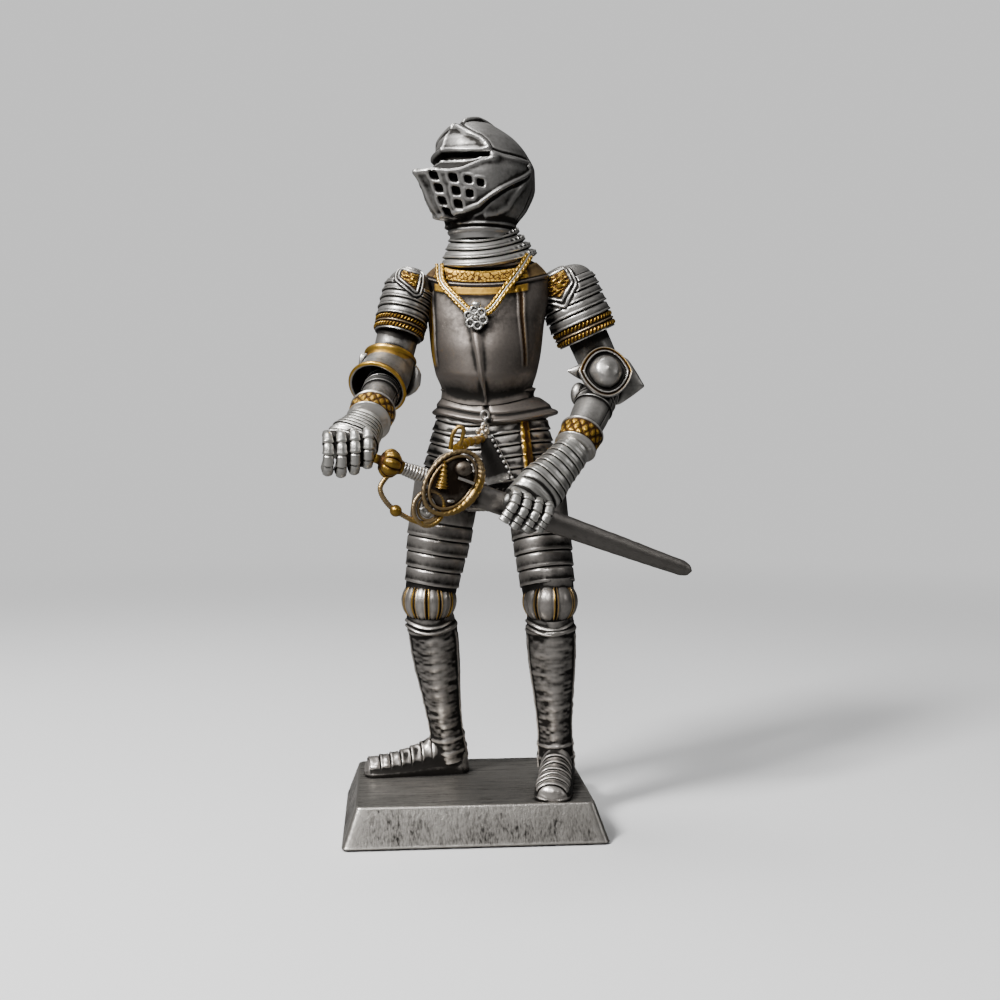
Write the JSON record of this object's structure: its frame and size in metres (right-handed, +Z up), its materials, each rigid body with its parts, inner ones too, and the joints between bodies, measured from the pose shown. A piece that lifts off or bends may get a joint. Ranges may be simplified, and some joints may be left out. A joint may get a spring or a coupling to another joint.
{
  "type": "medieval knight statue",
  "caption": "Small cast pewter statue of a standing knight in full plate armour with a closed helmet, holding a swept-hilt sword across the body, on a bevelled plinth.",
  "frame": {"origin": "centre of the plinth's underside", "axes": "+Z up along the figure, -Y towards the front that the chest and the plinth's long front edge face, +X to the viewer's right"},
  "size_m": [0.0525, 0.0327, 0.1009],
  "materials": {
    "antique_pewter": "cast pewter, dark patina in the recesses, rubbed bright on raised edges, with antique gold paint on the borders",
    "plinth_pewter": "brushed cast pewter with a dark brown patina, bright on the edges",
    "sword_metal": "dark satin blade with an antique gold hilt"
  },
  "bodies": {
    "root": {"plinth": "plinth_pewter", "knight_figure": "antique_pewter", "sword": "sword_metal"}
  },
  "joints": []
}
